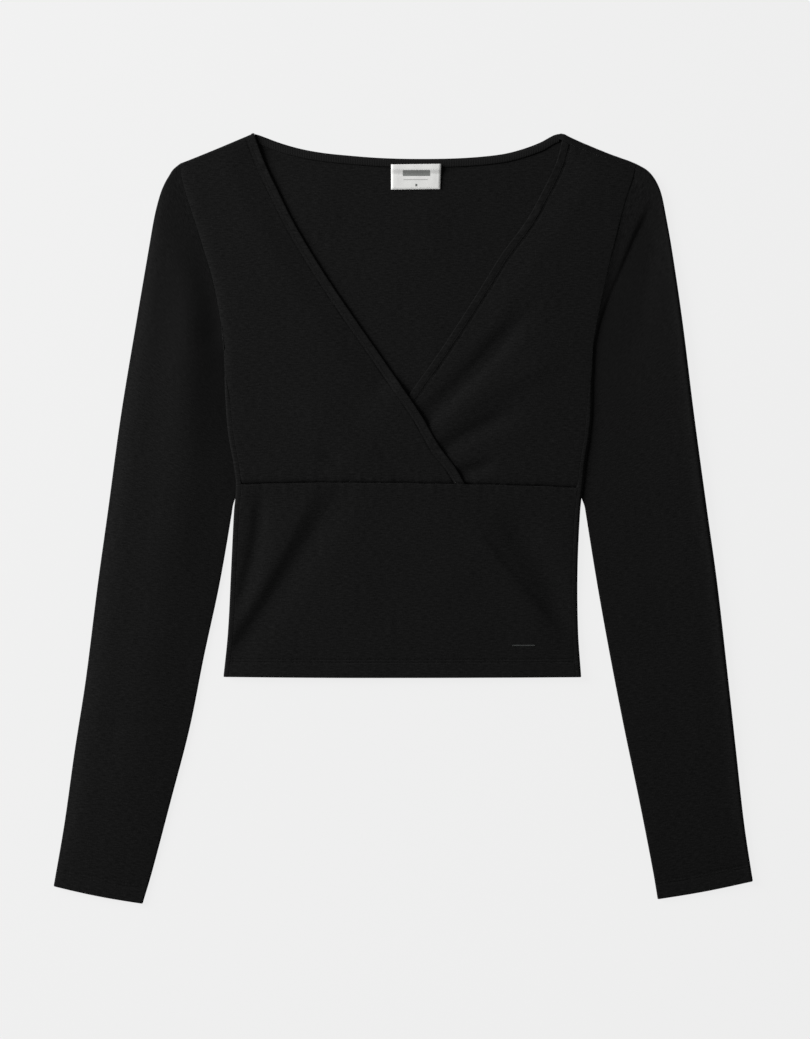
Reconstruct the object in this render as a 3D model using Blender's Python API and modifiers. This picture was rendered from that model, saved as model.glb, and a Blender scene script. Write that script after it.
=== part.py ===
"""A cropped, long-sleeved jersey top with a wrap front, laid flat on its back.

The garment lies on z = 0 with its neck towards +Y and its front up, and x = 0, y = 0 is the
middle of its box.  Every panel is a wall of cloth: one open sheet that is shaped in plan and
in height and then thickened inwards.  Sizes in the tables and functions are millimetres, and
"right" and "left" are the wearer's, so the right side lies at -X.
"""
import math

import bpy
import bmesh

MM = 0.001                # one millimetre in metres
CLOTH = 1.2               # wall of every panel
TRIM = 1.0                # wall of the bands, the tape and the label
GAP = 0.3                 # clear space at a seam and between layers
FOLD = 2.1                # outer radius where the cloth folds round at a side or shoulder
FRONT_HEIGHT = 2 * FOLD   # outer height of the front where it lies on air over the back
FRONT_RESTING = 2 * CLOTH + GAP         # outer height of the front where it rests on the back
WRAP_RISE = CLOTH + TRIM + 3 * GAP      # how much higher the over-wrap lies on the under-wrap
SIDE_SEAM_IN = 4.0        # side seams lie this far inside the folded side edges
HEM_LEVEL = -130.4        # height in plan of the hem at the side seams
WAIST_LEVEL = 27.4        # height in plan of the seam under the bust at the side seams
UNDERARM = 137.8          # height in plan of the point where sleeve and side seams meet
LAP_END = 20.0            # over this length below the underarm the folded side edge runs out
TOP_STRIP = 8.0           # width of the strip of the back just below its top fold
SIDE_STRIP = (8.0, 22.0)  # the back's edge strip widens this much over this height of armhole
SHOULDER_LAP = 1.5        # the right front runs on this far below its shoulder fold
FOLD_STRIPS = 5           # strips of faces round a fold and its lap
SHOULDER_CLEAR = 0.7      # extra space between sleeve and body at the shoulder fold
CUFF_BOW = 1.0            # the cuff's edge bows out this far in its middle
FOLD_START = (-5.0, 1.0)  # about the neck point, the back turns into the left shoulder's fold
SHOULDER_LEVEL = 300.0    # height in plan at which the width across the shoulders is read
NECK_STEP = (4.0, 8.0)    # past the neck point, the back comes out from under the right front
CROSSING = 126.0          # height in plan at which the two neckline edges cross
CROSSING_BLEND = 20.0     # and the length below it over which the over-wrap climbs
NECK_BAND_WIDTH = 7.0
TAPE_WIDTH = 7.0
TAPE_END_IN = 9.0         # the tape's ends lie this far inside the neck points
LABEL_SIZE = (41.0, 20.5)
LABEL_CENTRE_X = 10.7
LABEL_TOP = 289.8
COLOURS = {"jersey": (0.0075, 0.0075, 0.0075), "trim": (0.009, 0.009, 0.009),
           "label": (0.60, 0.60, 0.59)}


def table(names, *rows):
    """A table of named columns, one dictionary for each row."""
    return [dict(zip(names.split(), row)) for row in rows]


# Side edges of the body, from the hem up to the shoulder.  Above UNDERARM they are armholes.
BODY_EDGES = table("y right left",
                   (-130.4, -147.2, 146.0), (-93.5, -143.5, 143.5), (-44.3, -141.0, 143.0),
                   (4.9, -138.6, 145.1), (27.1, -136.9, 147.6), (46.7, -139.4, 149.6),
                   (64.8, -142.7, 152.5), (82.0, -144.6, 154.4), (107.4, -146.0, 155.0),
                   (137.8, -147.0, 155.6), (162.4, -149.8, 159.6), (195.2, -156.2, 166.4),
                   (228.0, -166.1, 174.0), (249.3, -172.6, 179.4), (264.9, -177.6, 183.9),
                   (278.4, -181.2, 188.4), (291.0, -183.0, 191.1))
# Folded top edge: both shoulders and, between the neck points, the back neckline.
TOP_EDGE = table("x y",
                 (-183.0, 290.3), (-166.5, 296.8), (-150.1, 303.4), (-133.7, 310.2),
                 (-122.2, 315.0), (-117.3, 313.6), (-100.9, 307.5), (-84.5, 302.8),
                 (-68.1, 299.7), (-51.7, 297.8), (-18.9, 295.2), (14.0, 294.4),
                 (50.0, 295.2), (79.5, 298.0), (95.9, 301.8), (112.3, 307.8),
                 (123.5, 313.8), (130.4, 315.7), (136.9, 312.2), (153.3, 304.9),
                 (169.7, 298.3), (186.1, 292.3), (191.1, 290.3))
NECK_POINT = {"right": -122.2, "left": 130.4}
# Neckline edges of the two fronts.  The under-wrap's runs on below the over-wrap.
NECKLINES = table("y right left",
                  (27.9, 50.8, -45.6), (41.8, 42.6, -36.2), (59.0, 29.6, -24.4),
                  (83.6, 15.4, -7.4), (107.8, -1.0, 9.7), (132.8, -18.2, 27.4),
                  (158.3, -36.0, 44.3), (187.8, -56.2, 63.1), (215.7, -74.0, 80.4),
                  (243.5, -90.2, 100.9), (267.3, -102.0, 114.0), (291.1, -113.2, 125.4),
                  (315.0, -122.2, 131.6))
# Seam under the bust and hem, as heights across the body.
WAIST_SEAM = table("x y", (-137.0, 27.4), (-74.6, 28.9), (5.0, 28.5), (92.7, 26.7), (147.0, 24.5))
HEM = table("x y", (-147.2, -130.2), (-70.0, -130.9), (0.0, -131.0), (80.0, -130.8),
            (146.0, -130.4))
# How far in front of the fold the left shoulder seam lies.
LEFT_SHOULDER_SEAM = table("x depth", (130.4, 6.4), (161.5, 5.2), (191.1, 3.9))
SLEEVE_OUTER = table("y right left",
                     (-300.9, -286.2, 287.2), (-250.9, -277.6, 279.6), (-191.9, -269.3, 273.0),
                     (-132.8, -260.1, 266.5), (-54.1, -250.2, 257.5), (4.9, -242.0, 249.3),
                     (83.6, -231.3, 238.6), (162.4, -218.3, 228.8), (221.4, -208.3, 220.2),
                     (248.0, -203.6, 215.5), (265.0, -199.2, 212.0), (274.0, -195.6, 208.6),
                     (281.0, -191.6, 204.2), (285.8, -188.4, 199.2), (290.3, -183.0, 191.1))
SLEEVE_INNER = table("y right left",
                     (-315.3, -213.2, 209.1), (-290.3, -205.8, 205.0), (-231.2, -190.2, 193.5),
                     (-172.2, -174.9, 181.2), (-113.2, -163.1, 169.7), (-54.1, -150.4, 159.1),
                     (4.9, -140.2, 149.6), (17.2, -138.9, 147.9))
CUFF = {"right": {"outer": -300.9, "inner": -315.3}, "left": {"outer": -296.8, "inner": -311.6}}
# Section of a sleeve, from the cuff (0) to the armhole (1): outer height where it is folded,
# and how far the upper wall stands above that.
SLEEVE_SECTIONS = table("along fold crown", (0.0, 3.4, 0.5), (0.15, 3.6, 1.2), (0.45, 3.8, 2.0),
                        (0.7, 4.0, 2.2), (0.88, 4.1, 1.6), (1.0, 4.2, 0.0))
# Largest folds.  A ridge has a positive height and a trough a negative one.
FOLDS = table("piece x0 y0 x1 y1 width height",
              ("front_waist", -62.0, 24.0, -134.0, -80.0, 9.0, 2.0),
              ("front_waist", -100.0, 14.0, -131.0, -46.0, 9.0, -1.1),
              ("front_waist", 52.0, -22.0, 124.0, -100.0, 9.0, 1.5),
              ("front_waist", 86.0, 8.0, 124.0, -70.0, 15.0, -1.0),
              ("left_front", 10.0, 84.0, 92.0, 164.0, 8.0, -1.2),
              ("left_front", 56.0, 74.0, 126.0, 128.0, 13.0, 1.4),
              ("right_front", -76.0, 62.0, -18.0, 30.0, 7.0, -1.0),
              ("right_front", -84.0, 92.0, -6.0, 48.0, 13.0, 1.3),
              ("right_sleeve", -176.0, 218.0, -157.0, 60.0, 9.0, -1.6),
              ("left_sleeve", 190.0, 226.0, 163.0, 120.0, 9.0, -1.8))


def smooth(rows, key, value):
    """A smooth curve through a table's rows: value as a function of key, level past its ends."""
    knots = sorted((row[key], row[value]) for row in rows)
    last = len(knots) - 1
    slopes = []
    for index in range(last + 1):
        (k0, v0), (k1, v1) = knots[max(index - 1, 0)], knots[min(index + 1, last)]
        slopes.append((v1 - v0) / (k1 - k0))

    def at(k):
        k = min(max(k, knots[0][0]), knots[last][0])
        index = next(i for i in range(last) if k <= knots[i + 1][0])
        (k0, v0), (k1, v1) = knots[index], knots[index + 1]
        span = k1 - k0
        t = (k - k0) / span
        return ((2 * t ** 3 - 3 * t ** 2 + 1) * v0 + (3 * t ** 2 - 2 * t ** 3) * v1
                + (t ** 3 - 2 * t ** 2 + t) * span * slopes[index]
                + (t ** 3 - t ** 2) * span * slopes[index + 1])
    return at


def straight(rows, key, value):
    """Straight runs between a table's rows, for an edge that has true corners."""
    knots = sorted((row[key], row[value]) for row in rows)

    def at(k):
        k = min(max(k, knots[0][0]), knots[-1][0])
        index = next(i for i in range(len(knots) - 1) if k <= knots[i + 1][0])
        (k0, v0), (k1, v1) = knots[index], knots[index + 1]
        return v0 + (v1 - v0) * (k - k0) / (k1 - k0)
    return at


def mix(start, end, share):
    return start + (end - start) * share


def ramp(low, high, value):
    """0 below low, 1 above high and a smooth rise between them."""
    t = min(max((value - low) / (high - low), 0.0), 1.0)
    return t * t * (3 - 2 * t)


BODY = {side: smooth(BODY_EDGES, "y", side) for side in ("right", "left")}
NECK = {side: smooth(NECKLINES, "y", side) for side in ("right", "left")}
OUTER = {side: smooth(SLEEVE_OUTER, "y", side) for side in ("right", "left")}
top_fold = straight(TOP_EDGE, "x", "y")
waist_seam = smooth(WAIST_SEAM, "x", "y")
hem = smooth(HEM, "x", "y")
left_shoulder_seam = smooth(LEFT_SHOULDER_SEAM, "x", "depth")
OUTWARDS = {"right": -1, "left": 1}


def inner_edge(side):
    """The sleeve's inner edge: free below, and close beside the body above."""
    free = smooth(SLEEVE_INNER, "y", side)
    joins = max(row["y"] for row in SLEEVE_INNER)
    clear = GAP * OUTWARDS[side]

    def at(y):
        beside = BODY[side](y) + clear
        return mix(free(y), beside, ramp(joins - 12.0, joins, y))
    return at


INNER = {side: inner_edge(side) for side in ("right", "left")}


def folds(piece, x, y):
    """Height that the piece's folds add: a soft bell across each, fading out at its ends."""
    height = 0.0
    for row in FOLDS:
        if row["piece"] != piece:
            continue
        run = (row["x1"] - row["x0"], row["y1"] - row["y0"])
        length = math.hypot(*run)
        along = ((x - row["x0"]) * run[0] + (y - row["y0"]) * run[1]) / length ** 2
        across = ((x - row["x0"]) * run[1] - (y - row["y0"]) * run[0]) / length
        fade = ramp(-0.12, 0.25, along) * (1 - ramp(0.75, 1.12, along))
        height += row["height"] * fade * math.exp(-(across / row["width"]) ** 2)
    return height


def sheet(name, place, columns, rows, wall, side=-1, closed=False, finish="jersey"):
    """A wall of cloth.  place(i, j) gives each grid point of its outer face in millimetres."""
    bm = bmesh.new()
    bmesh.ops.create_grid(bm, x_segments=columns, y_segments=rows, size=0.5)
    for vert in bm.verts:
        i = round((vert.co.x + 0.5) * columns)
        j = round((vert.co.y + 0.5) * rows)
        vert.co = [MM * value for value in place(i, j)]
    if closed:
        bmesh.ops.remove_doubles(bm, verts=bm.verts, dist=MM * 0.01)
    mesh = bpy.data.meshes.new(name)
    bm.to_mesh(mesh)
    bm.free()
    mesh.shade_smooth()
    mesh.materials.append(MATERIALS[finish])
    piece = bpy.data.objects.new(name, mesh)
    TOP.objects.link(piece)
    thick = piece.modifiers.new("wall", "SOLIDIFY")
    thick.thickness = wall * MM
    thick.offset = side
    return piece


def round_fold(past):
    """Reach and rise of cloth that runs `past` beyond the start of a half-round fold."""
    angle = past / FOLD
    if angle <= math.pi:
        return FOLD * math.sin(angle), FOLD * (1 - math.cos(angle))
    return math.pi * FOLD - past, 2 * FOLD


def fold_stations(lap):
    """Cloth lengths round a half-round fold, and then on to the end of the lap."""
    steps = FOLD_STRIPS - 1
    return [math.pi * FOLD * step / steps for step in range(steps + 1)] + [math.pi * FOLD + lap]


def row_levels(start, stop, count):
    return [mix(start, stop, step / count) for step in range(count + 1)]


# Rows of points meet the side edges at these heights, the same on each panel and sleeve.
BELOW_WAIST = row_levels(HEM_LEVEL, WAIST_LEVEL, 11)
WAIST_TO_UNDERARM = row_levels(WAIST_LEVEL, UNDERARM - LAP_END, 5)
RUNNING_OUT = row_levels(UNDERARM - LAP_END, UNDERARM, 4)
ARMHOLE = [UNDERARM, 160.0, 184.0, 208.0, 230.0, 250.0, 266.0, 280.0]


def landing(line, column_x, y):
    """Height at which a column, which lies at column_x(y), meets a line across the panel."""
    for _ in range(8):
        y = line(column_x(y))
    return y


# ---- back: one panel, folded round to the front along its sides and its left shoulder ----

def back_side(y, strip):
    """Distance inside the side edge and rise, at the start of one strip of the folded side."""
    if y < UNDERARM:
        full = fold_stations(SIDE_SEAM_IN - GAP / 2 - FOLD)
        shorter = ramp(UNDERARM - LAP_END, UNDERARM - LAP_END / 4, y)
        scale = mix(1.0, (FOLD - GAP / 2) / full[-1], shorter)
        reach, rise = round_fold(full[FOLD_STRIPS - strip] * scale)
        return FOLD - reach, rise
    wider = SIDE_STRIP[0] * ramp(UNDERARM, UNDERARM + SIDE_STRIP[1], y)
    return mix(GAP / 2, FOLD + wider, strip / FOLD_STRIPS), 0.0


def back_top(x, strip):
    """Distance below the top fold and rise, at the end of one strip along the top."""
    start = FOLD + TOP_STRIP
    fold_share = ramp(*[NECK_POINT["left"] + step for step in FOLD_START], x)
    seam = FOLD + SHOULDER_LAP + GAP
    covered = [NECK_POINT["right"] + step for step in NECK_STEP]
    edge = mix(seam, 0.0, ramp(*covered, x))
    flat = mix(start, edge, strip / (FOLD_STRIPS + 1))
    if strip == 0:
        return start, 0.0
    reach, rise = round_fold(fold_stations(left_shoulder_seam(x) - GAP / 2 - FOLD)[strip - 1])
    return mix(flat, FOLD - reach, fold_share), rise * fold_share


def back_panel():
    levels = BELOW_WAIST + WAIST_TO_UNDERARM[1:] + RUNNING_OUT[1:] + ARMHOLE[1:]
    rows = len(levels) - 1
    inside = FOLD + TOP_STRIP
    right_end, left_end = BODY["right"](SHOULDER_LEVEL) + inside, BODY["left"](SHOULDER_LEVEL) - inside
    right_neck = [NECK_POINT["right"] + step for step in NECK_STEP]
    left_neck = [NECK_POINT["left"] + step for step in FOLD_START]
    stations = (row_levels(right_end, right_neck[0], 3)
                + row_levels(right_neck[1], left_neck[0], 12)
                + row_levels(left_neck[1], left_end, 3))
    across = [(x - right_end) / (left_end - right_end) for x in stations]
    columns = len(across) - 1
    last = FOLD_STRIPS + columns

    def row_x(i, y):
        """Place across the panel and rise of column i in the row at height y."""
        right_in, right_rise = back_side(y, min(i, FOLD_STRIPS))
        left_in, left_rise = back_side(y, min(last + FOLD_STRIPS - i, FOLD_STRIPS))
        right, left = BODY["right"](y) + right_in, BODY["left"](y) - left_in
        share = across[min(max(i - FOLD_STRIPS, 0), columns)]
        return mix(right, left, share), max(right_rise, left_rise)

    def place(i, j):
        def column_x(y):
            return row_x(i, y)[0]

        def line(x):
            return top_fold(x) - back_top(x, strip)[0]
        strip = max(j - rows, 0)
        level = levels[min(j, rows)]
        share = (level - levels[0]) / (levels[-1] - levels[0])
        high = landing(line, column_x, levels[-1])
        low = landing(hem, column_x, levels[0])
        y = high if j > rows else level + mix(low - levels[0], high - levels[-1], share)
        x, side_rise = row_x(i, y)
        return x, y, max(back_top(x, strip)[1], side_rise)
    sheet("back_panel", place, last + FOLD_STRIPS, rows + FOLD_STRIPS + 1, CLOTH, side=1)


# ---- the two fronts ----

def single_front(side, x, y):
    """Outer height of one front where nothing but the back lies below it."""
    from_neck = (x - NECK[side](y)) * OUTWARDS[side]
    below_fold = top_fold(x) - y
    above_waist = y - waist_seam(x)
    resting = (1 - ramp(4.0, 36.0, from_neck)) * ramp(3.0, 26.0, below_fold)
    return mix(FRONT_HEIGHT, FRONT_RESTING, resting * ramp(2.0, 22.0, above_waist))


def under_crossing(y):
    """1 where the fronts lie over one another, below the point where their edges cross."""
    return ramp(0.0, CROSSING_BLEND, CROSSING - y)


def right_front_height(x, y):
    """The over-wrap climbs over the under-wrap's hidden edge and stays that much higher."""
    climb = ramp(-34.0, -9.0, x - NECK["left"](y)) * under_crossing(y)
    alone = single_front("right", x, y) + folds("right_front", x, y)
    return mix(alone, FRONT_RESTING + WRAP_RISE, climb)


def left_front_height(x, y):
    """The under-wrap lies low wherever the over-wrap covers it."""
    covered = (1 - ramp(3.0, 24.0, x - NECK["right"](y))) * under_crossing(y)
    alone = single_front("left", x, y) + folds("left_front", x, y)
    return mix(max(alone, FRONT_RESTING), FRONT_RESTING, covered)


FRONT_HEIGHTS = {"right": right_front_height, "left": left_front_height}


def side_inset(y):
    """How far the front's side edge lies inside the body's edge."""
    running_out = ramp(UNDERARM - LAP_END * 0.6, UNDERARM, y)
    return mix(SIDE_SEAM_IN + GAP / 2, GAP / 2, running_out)


def front_grid(side):
    """Numbers of columns and rows of one front, and a function that places its points.

    Column 0 is the side edge, and the last strip of columns is the turned neckline edge.
    """
    columns, out = 14, OUTWARDS[side]
    levels = WAIST_TO_UNDERARM + RUNNING_OUT[1:] + ARMHOLE[1:]
    rows = len(levels)
    folded = FOLD_STRIPS if side == "right" else 0

    def top(x):
        seam = FOLD if side == "right" else left_shoulder_seam(x) + GAP / 2
        return top_fold(x) - seam

    def bottom(x):
        return waist_seam(x) + GAP / 2

    def across(column, y):
        edge = BODY[side](y) - out * side_inset(y)
        slope = (NECK[side](y + 1.0) - NECK[side](y - 1.0)) / 2
        band = NECK[side](y) + out * NECK_BAND_WIDTH * math.hypot(1.0, slope)
        if column == columns:
            return NECK[side](y)
        return mix(edge, band, column / (columns - 1))

    def column_ends(column):
        def column_x(y):
            return across(column, y)
        return landing(bottom, column_x, levels[0]), landing(top, column_x, levels[-1])

    low_edge, high_edge = column_ends(0)
    heights = [low_edge] + levels[1:] + [high_edge]

    def place(column, j):
        low, high = column_ends(column)
        height = heights[min(j, rows)]
        share = (height - low_edge) / (high_edge - low_edge)
        y = height + mix(low - low_edge, high - high_edge, share)
        x = across(column, y)
        z = FRONT_HEIGHTS[side](x, y)
        if j > rows:
            reach, drop = round_fold(fold_stations(SHOULDER_LAP)[j - rows])
            x, y, z = across(column, y + reach), y + reach, z - drop
        return x, y, z
    return columns, rows + folded, place


def front(side):
    columns, rows, place = front_grid(side)
    name = side + "_front"
    if side == "right":
        sheet(name, place, columns, rows, CLOTH)
    else:
        sheet(name, lambda i, j: place(columns - i, j), columns, rows, CLOTH)


def neck_band(side):
    """The neckline's turned edge: the front's last strip of points, moved out."""
    columns, rows, place = front_grid(side)
    folded = FOLD_STRIPS if side == "right" else 0

    def raised(i, j):
        column = columns - 1 + i if side == "right" else columns - i
        x, y, z = place(column, j)
        return x, y, z + GAP + TRIM
    sheet(side + "_neck_band", raised, 1, rows - folded, TRIM, finish="trim")


def front_waist():
    columns, levels = 24, BELOW_WAIST
    inset = SIDE_SEAM_IN + GAP / 2

    def across(i, y):
        return mix(BODY["right"](y) + inset, BODY["left"](y) - inset, i / columns)

    def place(i, j):
        share = j / (len(levels) - 1)
        low = hem(across(i, levels[0])) - levels[0]
        high = waist_seam(across(i, levels[-1])) - GAP / 2 - levels[-1]
        y = levels[j] + mix(low, high, share)
        x = across(i, y)
        return x, y, FRONT_HEIGHT + folds("front_waist", x, y)
    sheet("front_waist", place, columns, len(levels) - 1, CLOTH)


# ---- sleeves: flattened tubes whose sections fan round the underarm ----

def sleeve(side):
    fold_steps, rings = 3, 28
    name, out, cuff = side + "_sleeve", OUTWARDS[side], CUFF[side]
    fold_at = smooth(SLEEVE_SECTIONS, "along", "fold")
    crown_at = smooth(SLEEVE_SECTIONS, "along", "crown")
    shoulder = max(row["y"] for row in SLEEVE_OUTER)
    wall_levels = [shoulder] + ARMHOLE[::-1]
    wall_shares = [(shoulder - level) / (shoulder - UNDERARM) for level in wall_levels]
    wall_steps = len(wall_shares) - 1
    around = 2 * (wall_steps + fold_steps)

    def closer_to_armhole(share):
        return share * (1.6 - 0.6 * share)

    def ends(along):
        """Outer and inner end of a section.  The inner end slows down towards the underarm."""
        start_rate, end_rate = 1.3, 0.14
        reach = ((along ** 3 - 2 * along ** 2 + along) * start_rate
                 + 3 * along ** 2 - 2 * along ** 3 + (along ** 3 - along ** 2) * end_rate)
        outer = mix(cuff["outer"], shoulder, along)
        inner = mix(cuff["inner"], UNDERARM + GAP, reach)
        return (OUTER[side](outer), outer), (INNER[side](inner), inner)

    def plan(along, share):
        """A point of the section in plan.  The last section follows the armhole seam."""
        outer, inner = ends(along)
        x, y = (mix(a, b, share) for a, b in zip(outer, inner))
        y -= CUFF_BOW * math.sin(math.pi * share) * (1 - ramp(0.0, 0.1, along))
        seam_outer, seam_inner = ends(1.0)
        seam_y = mix(seam_outer[1], seam_inner[1], share)
        chord_x = mix(seam_outer[0], seam_inner[0], share)
        clear = GAP / 2 + SHOULDER_CLEAR * ramp(shoulder - 14.0, shoulder, seam_y)
        seam_x = BODY[side](seam_y) + out * clear
        return x + (seam_x - chord_x) * ramp(0.72, 1.0, along), y

    def place(i, j):
        along = closer_to_armhole(j / rings)
        outer, inner = ends(along)
        width = math.hypot(inner[0] - outer[0], inner[1] - outer[1])
        fold = fold_at(along) / 2
        step, crown = i % around, 0.0
        if step <= wall_steps:                                      # upper wall
            across = min(max(width * wall_shares[step], fold), width - fold)
            height = 2 * fold
            crown = crown_at(along) * math.sin(math.pi * across / width) ** 0.8
            inside = ramp(0.0, 12.0, across) * ramp(0.0, 12.0, width - across)
            crown += folds(name, *plan(along, across / width)) * inside * (1 - ramp(0.86, 1.0, along))
        elif step < wall_steps + fold_steps:                        # inner fold
            angle = math.pi * (step - wall_steps) / fold_steps
            across, height = width - fold + fold * math.sin(angle), fold * (1 + math.cos(angle))
        elif step <= 2 * wall_steps + fold_steps:                   # lower wall
            share = wall_shares[2 * wall_steps + fold_steps - step]
            across, height = min(max(width * share, fold), width - fold), 0.0
        else:                                                       # outer fold
            angle = math.pi * (step - around + fold_steps) / fold_steps
            across, height = fold - fold * math.sin(angle), fold * (1 - math.cos(angle))
        x, y = plan(along, across / width)
        return x, y, height + crown
    sheet(name, place, around, rings, CLOTH, side=out, closed=True)


# ---- trims of the back neck ----

def neck_tape():
    """The ribbed tape along the inside of the back neck."""
    columns, rows = 20, 1
    start, end = NECK_POINT["right"] + TAPE_END_IN, NECK_POINT["left"] - TAPE_END_IN

    def place(i, j):
        x = mix(start, end, i / columns)
        slope = (top_fold(x + 4.0) - top_fold(x - 4.0)) / 8.0
        down = mix(TAPE_WIDTH, 0.4, j / rows) * math.hypot(1.0, slope)
        return x, top_fold(x) - down, CLOTH + GAP + TRIM
    sheet("neck_tape", place, columns, rows, TRIM, finish="trim")


def neck_label():
    """The woven label: its head lies on the tape and its foot on the back."""
    columns, rows = 4, 8
    width, depth = LABEL_SIZE
    low = CLOTH + GAP + TRIM

    def place(i, j):
        x = LABEL_CENTRE_X + mix(-width / 2, width / 2, i / columns)
        y = LABEL_TOP - mix(depth, 0.0, j / rows)
        on_tape = ramp(LABEL_TOP - 9.0, LABEL_TOP - 4.0, y)
        return x, y, mix(low, low + GAP + TRIM, on_tape)
    sheet("neck_label", place, columns, rows, TRIM, finish="label")


def material(name, colour, roughness):
    surface = bpy.data.materials.new(name)
    surface.use_nodes = True
    shader = surface.node_tree.nodes["Principled BSDF"]
    shader.inputs["Base Color"].default_value = (*colour, 1.0)
    shader.inputs["Roughness"].default_value = roughness
    shader.inputs["Metallic"].default_value = 0.0
    return surface


for old in list(bpy.data.objects):
    bpy.data.objects.remove(old)
TOP = bpy.data.collections.new("wrap_top")
bpy.context.scene.collection.children.link(TOP)
MATERIALS = {name: material(name, colour, 0.9) for name, colour in COLOURS.items()}

back_panel()
front_waist()
for wearer_side in ("right", "left"):
    front(wearer_side)
    neck_band(wearer_side)
    sleeve(wearer_side)
neck_tape()
neck_label()
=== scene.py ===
"""The looks of a cropped, long-sleeved jersey top with a wrap front, laid flat on its back.

Every panel is a thin sheet of cloth on the form that its solid gives it, with its seams, turned
edges, creases and stitches.  Sizes in the tables and functions are millimetres.  "Right" and
"left" are the wearer's, so the right side lies at -X.
"""

import math

import bmesh
import bpy
import numpy as np
from mathutils import Matrix, Vector
from mathutils.bvhtree import BVHTree


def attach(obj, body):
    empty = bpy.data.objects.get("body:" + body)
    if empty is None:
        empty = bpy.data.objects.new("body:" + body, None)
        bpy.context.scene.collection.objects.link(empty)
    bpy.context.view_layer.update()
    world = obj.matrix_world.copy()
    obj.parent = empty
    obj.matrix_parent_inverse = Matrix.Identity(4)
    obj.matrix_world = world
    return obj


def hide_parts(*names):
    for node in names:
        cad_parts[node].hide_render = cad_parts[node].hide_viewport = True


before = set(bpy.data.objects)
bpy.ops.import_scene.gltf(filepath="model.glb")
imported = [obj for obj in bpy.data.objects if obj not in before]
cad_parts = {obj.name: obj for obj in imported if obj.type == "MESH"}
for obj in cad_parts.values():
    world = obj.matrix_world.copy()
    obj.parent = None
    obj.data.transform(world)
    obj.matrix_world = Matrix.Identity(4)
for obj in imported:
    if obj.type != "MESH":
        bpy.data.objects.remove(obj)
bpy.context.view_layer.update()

# ---- sizes ----

RIGHT, LEFT = "right", "left"
OUTWARDS = {RIGHT: -1, LEFT: 1}
MM = 0.001
WALL = 0.7                # jersey
BACK_LIFT = 0.2           # the back's outer face lies this far above the floor
FOLD = 2.1                # outer radius where the cloth folds round at a side or shoulder
TURN = 0.75               # outer radius of a turned hem, cuff or neckline edge
TURN_RUN = 3.0            # the turned edge is modelled this far back inside
FRONT_HEIGHT = 2 * FOLD   # outer height of the front where it lies on air over the back
FRONT_RESTING = 2.6       # outer height of the front where it rests on the back
WRAP_RISE = 2.2           # how much higher the over-wrap lies on the under-wrap
SIDE_SEAM_IN = 4.0        # side seams lie this far inside the folded side edges
UNDERARM = 137.8          # height in plan of the point where sleeve and side seams meet
SIDE_ALLOWANCE = 1.2      # the lower piece runs on this far at the side and shoulder seams
SEAM_BELOW = 0.15         # there it lies this far below the upper piece's inner face
TOP_STRIP = 8.0           # width of the strip of the back just below its top fold
SHOULDER_SLOPE = (0.7, 5.5)  # the left shoulder falls this much towards its fold, over this width
SHOULDER_LAP = 1.5        # the right front runs on this far below its shoulder fold
CUFF_BOW = 1.0            # the cuff's edge bows out this far in its middle
NECK_STEP = (-1.5, 0.5)   # about the neck point, the back comes out from under the right front
FOLD_START = (-5.0, 1.0)  # about the neck point, the back turns into the left shoulder's fold
WRAP_GAP = 0.95           # the under-wrap lies at least this far below the over-wrap
SEAM_RUNS_OUT = (-50.0, -11.0)   # past the underarm, the side seam runs out to the folded edge
LAP_LOWERS = (-27.0, -19.0)      # the back's lap goes below the front
LAP_SHORTENS = (-18.0, -4.0)     # and runs out
# The body's edge is rounded off: depth above and below the underarm, and reach.
SIDE_ROLL = {RIGHT: (1.9, 1.5, 2.8), LEFT: (0.5, 0.4, 2.6)}
# The cloth rolls down into its seams: depth at the seam, and reach.
SIDE_SEAM_ROLL = (0.28, 0.4)
BUST_SEAM_ROLLS = ((2.2, 1.2), (0.35, 4.0))   # the fronts above the seam under the bust
WAIST_TOP_ROLL = (0.4, 0.8)                   # and the waist panel below it
SHOULDER_ROLL = (0.75, 1.6)                   # the left front at its shoulder
SHOULDER_LAP_ROLL = (0.5, 0.45)               # and the back's lap over it
ARMHOLE_ROLL, ARMHOLE_DIP = (0.15, 3.0), (0.32, 0.7)   # the left front at its armhole
SEAM_STEPS = (0.0, 0.2, 0.45, 0.75, 1.15, 1.7, 2.5, 3.6, 5.0)   # grid lines beside a seam
OVERLAP = 1.2             # the sleeve's inner edge tucks in this far under the body's edge
LOWEST_FRONT = 1.7        # the fronts touch the back at this outer height
LOWEST_SLEEVE = 1.75      # and a sleeve's upper wall its lower one
CROSSING = 126.0          # height in plan at which the two neckline edges cross
CROSSING_BLEND = 20.0
BAND_RISE = 0.6           # the turned neckline edge stands this much above the front
BAND_WIDTH = 6.6          # it runs back under the surface of the front at this distance
# Shares of that rise at its free edge and at its seam, and where the one starts to give way.
BAND_TILT = {RIGHT: (1.0, 0.35, 1.0), LEFT: (0.45, 0.55, 0.6)}
BAND_LAP = 0.7            # the right band's end goes round this share of the shoulder fold
BAND_WALL, TAPE_WALL, LABEL_WALL = 0.5, 0.5, 0.45
NECK_NEEDLES = (5.2, 7.6) # the two rows of stitching along the neckline
HEM_NEEDLES = (12.6, 14.9)
CUFF_NEEDLES = (11.2, 13.5)
NEAR_HEM, NEAR_BUST_SEAM, NEAR_TOP = -130.0, 28.0, 300.0   # where landing() starts to look
WAIST_CUT = -1.0          # the waist's slub is shifted, so that it doesn't run on from the fronts'
STITCH_PITCH = 2.9        # length of one stitch with its gap
STITCH_LENGTH = 2.2
THREAD = 0.34             # thickness of the sewing thread
THREAD_SUNK = 0.22        # it pulls itself this far into the cloth
STEEPEST_STITCH = 1.2     # no stitch is drawn where the cloth steps by more than this
CHANNEL_WIDTH = 0.6       # half the width of the channel that a row of stitches pulls
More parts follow.
